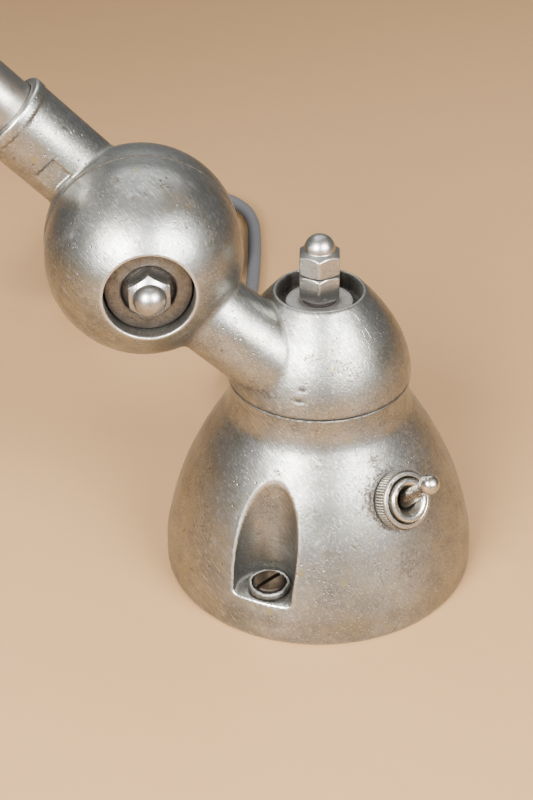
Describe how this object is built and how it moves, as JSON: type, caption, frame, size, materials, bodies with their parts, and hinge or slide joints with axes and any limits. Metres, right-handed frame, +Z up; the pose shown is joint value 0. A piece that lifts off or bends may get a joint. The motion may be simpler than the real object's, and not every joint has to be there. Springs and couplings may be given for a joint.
{
  "type": "architect desk lamp",
  "caption": "Desk lamp with a weighted bell base, a turning head and two tube arms on clamped ball joints, carrying a spun shade over the table.",
  "frame": {"origin": "where the lamp's vertical axis meets the underside of the base", "axes": "+Z up along the base's axis; the lower joint leans out to -X and every arm hinge lies along Y; -Y is the side with the switch and the front screw pocket"},
  "size_m": [0.487, 0.3068, 0.516],
  "materials": {
    "cast_aluminium": "satin casting with a mottled brown tarnish, fine pits and brush marks",
    "nickel_plate": "worn nickel plate with brown speckle",
    "plated_nuts": "satin plate, chipped at the corners",
    "steel": "plain steel, stained",
    "cast_iron": "rough black casting",
    "fibre": "pressed fibre",
    "cord_sheath": "dull dark grey sheath",
    "black_rubber": "moulded, satin",
    "brass": "dull brass",
    "felt": "felt",
    "bakelite": "dark moulded bakelite",
    "opal_glass": "opal glass",
    "spun_aluminium": "spun, satin, with turning marks"
  },
  "bodies": {
    "base": {"base_bell": "cast_aluminium", "base_ballast": "cast_iron", "base_plate": "steel", "felt_pad": "felt", "base_screw_front": "steel", "base_screw_rear": "steel", "base_screw_cup_front": "cast_aluminium", "base_screw_cup_rear": "cast_aluminium", "switch_body": "bakelite", "switch_ring_nut": "nickel_plate", "switch_back_nut": "steel", "pivot_bolt": "steel", "pivot_inner_washer": "steel", "pivot_friction_disc": "fibre", "pivot_washer": "steel", "pivot_collar": "steel", "pivot_lock_nut": "plated_nuts", "pivot_cap_nut": "plated_nuts", "cord_gland": "black_rubber", "mains_cord": "cord_sheath", "cord_coil": "cord_sheath", "cord_tail": "cord_sheath", "plug_body": "black_rubber", "plug_pin_left": "brass", "plug_pin_right": "brass"},
    "switch_toggle": {"switch_lever": "nickel_plate"},
    "turret": {"swivel_casting": "cast_aluminium", "lower_joint_front_washer": "steel", "lower_joint_rear_washer": "steel", "lower_joint_cap_nut": "plated_nuts", "lower_joint_bolt": "steel", "lower_joint_friction_disc": "fibre"},
    "lower_arm": {"lower_arm_casting": "cast_aluminium", "lower_arm_tube": "nickel_plate", "lower_arm_lead": "cord_sheath", "elbow_rear_casting": "cast_aluminium"},
    "upper_arm": {"elbow_front_casting": "cast_aluminium", "elbow_joint_front_washer": "steel", "elbow_joint_rear_washer": "steel", "elbow_joint_cap_nut": "plated_nuts", "elbow_joint_bolt": "steel", "elbow_joint_friction_disc": "fibre", "upper_arm_tube": "nickel_plate", "upper_arm_lead": "cord_sheath", "upper_arm_casting": "cast_aluminium", "shade_joint_front_washer": "steel", "shade_joint_rear_washer": "steel", "shade_joint_cap_nut": "plated_nuts", "shade_joint_bolt": "steel", "shade_joint_friction_disc": "fibre"},
    "shade_head": {"shade_casting": "cast_aluminium", "shade_neck_tube": "nickel_plate", "shade_collar": "nickel_plate", "shade": "spun_aluminium", "lampholder": "bakelite", "bulb_cap": "brass", "bulb_glass": "opal_glass"}
  },
  "joints": [
    {"name": "head_swivel", "type": "hinge", "parent": "base", "child": "turret", "pos_m": [0, 0, 0.0637], "axis": [0, 0, 1], "range_deg": [-170, 170]},
    {"name": "lower_tilt", "type": "hinge", "parent": "turret", "child": "lower_arm", "pos_m": [-0.04759, 0, 0.10179], "axis": [0, -1, 0], "range_deg": [-30, 20]},
    {"name": "elbow_tilt", "type": "hinge", "parent": "lower_arm", "child": "upper_arm", "pos_m": [-0.27773, 0, 0.35207], "axis": [0, -1, 0], "range_deg": [-25, 45]},
    {"name": "shade_tilt", "type": "hinge", "parent": "upper_arm", "child": "shade_head", "pos_m": [0.09815, 0, 0.48887], "axis": [0, -1, 0], "range_deg": [-30, 60]},
    {"name": "switch_flick", "type": "hinge", "parent": "base", "child": "switch_toggle", "pos_m": [0.01906, -0.03301, 0.03968], "axis": [0.866, 0.5, 0], "range_deg": [0, 36]}
  ]
}
